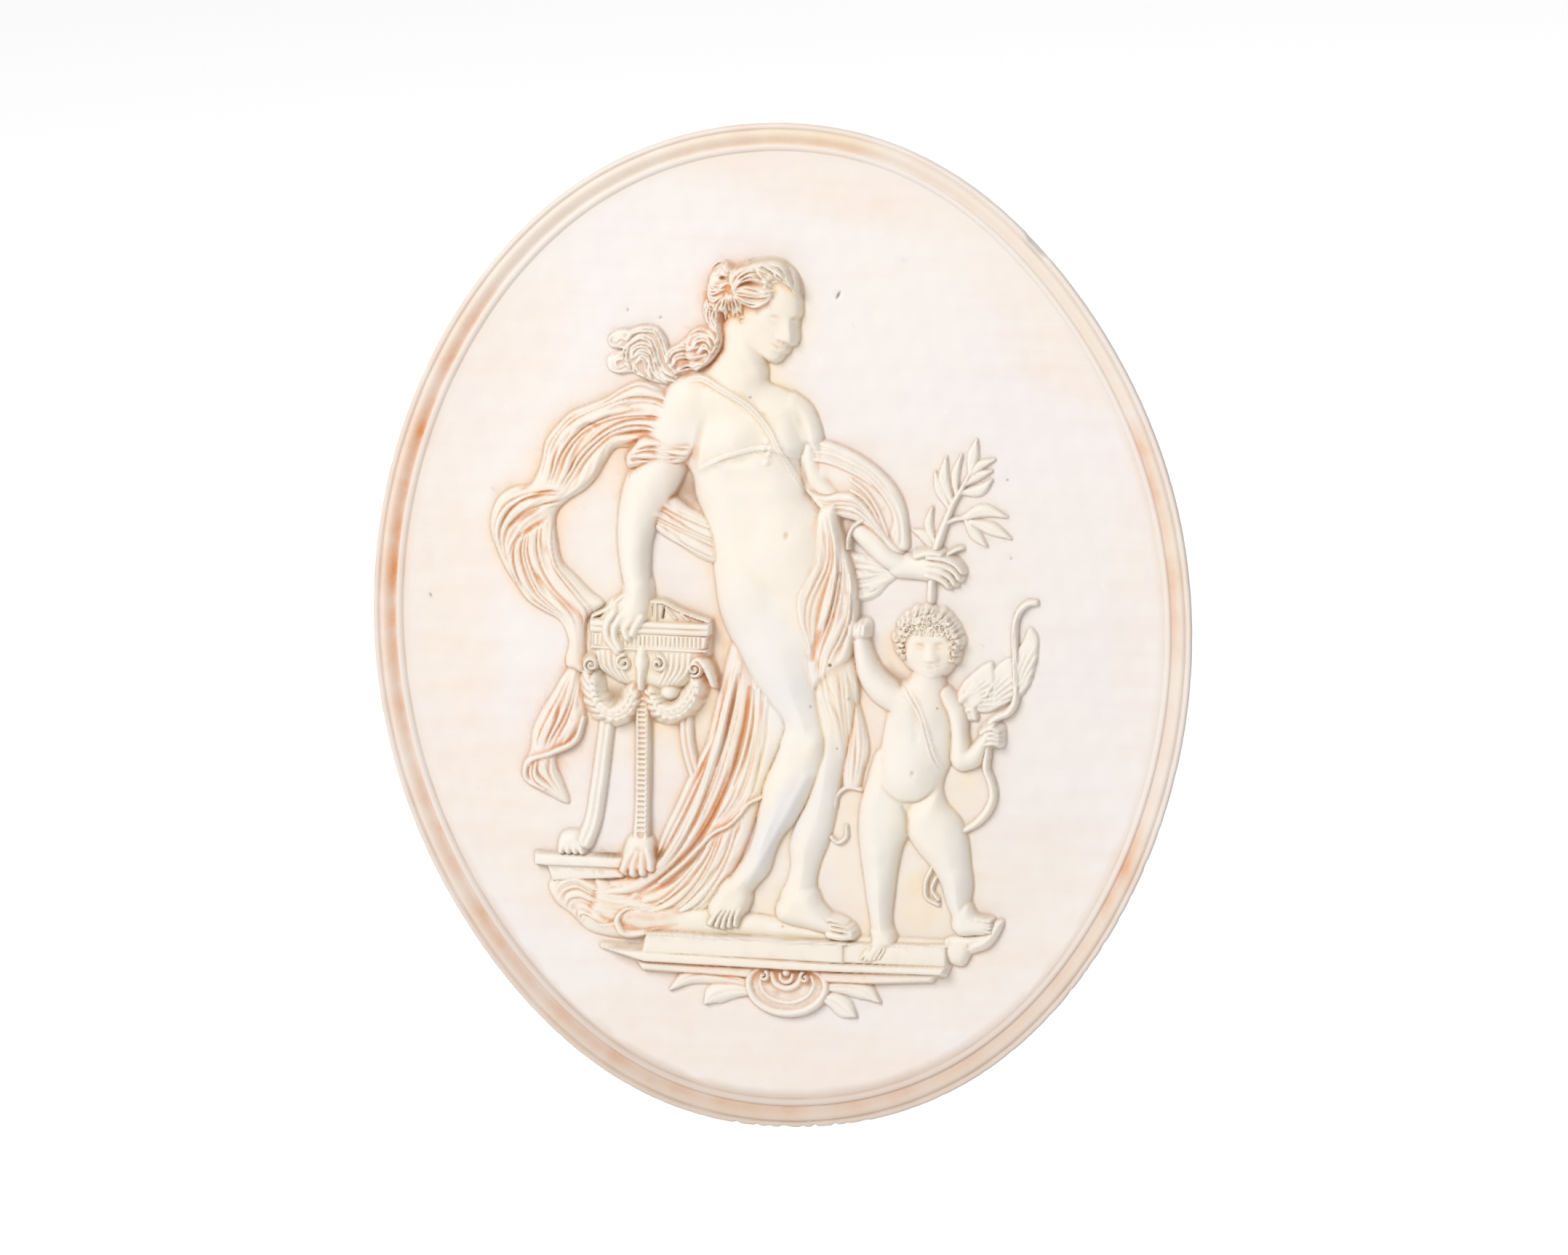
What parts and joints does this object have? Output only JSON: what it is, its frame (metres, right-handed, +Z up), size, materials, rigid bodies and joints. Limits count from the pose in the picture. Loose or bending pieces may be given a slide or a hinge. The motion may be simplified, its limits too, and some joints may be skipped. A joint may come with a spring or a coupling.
{
  "type": "plaster relief plaque",
  "caption": "Oval wall plaque cast in plaster: a moulded rim around a low relief of a draped woman leaning on a tripod, a winged child and a stepped plinth.",
  "frame": {"origin": "centre of the flat back face, where it meets the wall", "axes": "+Z up along the oval's long axis, +X to the right as seen from the front, +Y into the wall; the relief faces -Y"},
  "size_m": [0.65, 0.0325, 0.8],
  "materials": {
    "plaster": "matte, patinated in the hollows"
  },
  "bodies": {
    "root": {"plaque": "plaster"}
  },
  "joints": []
}
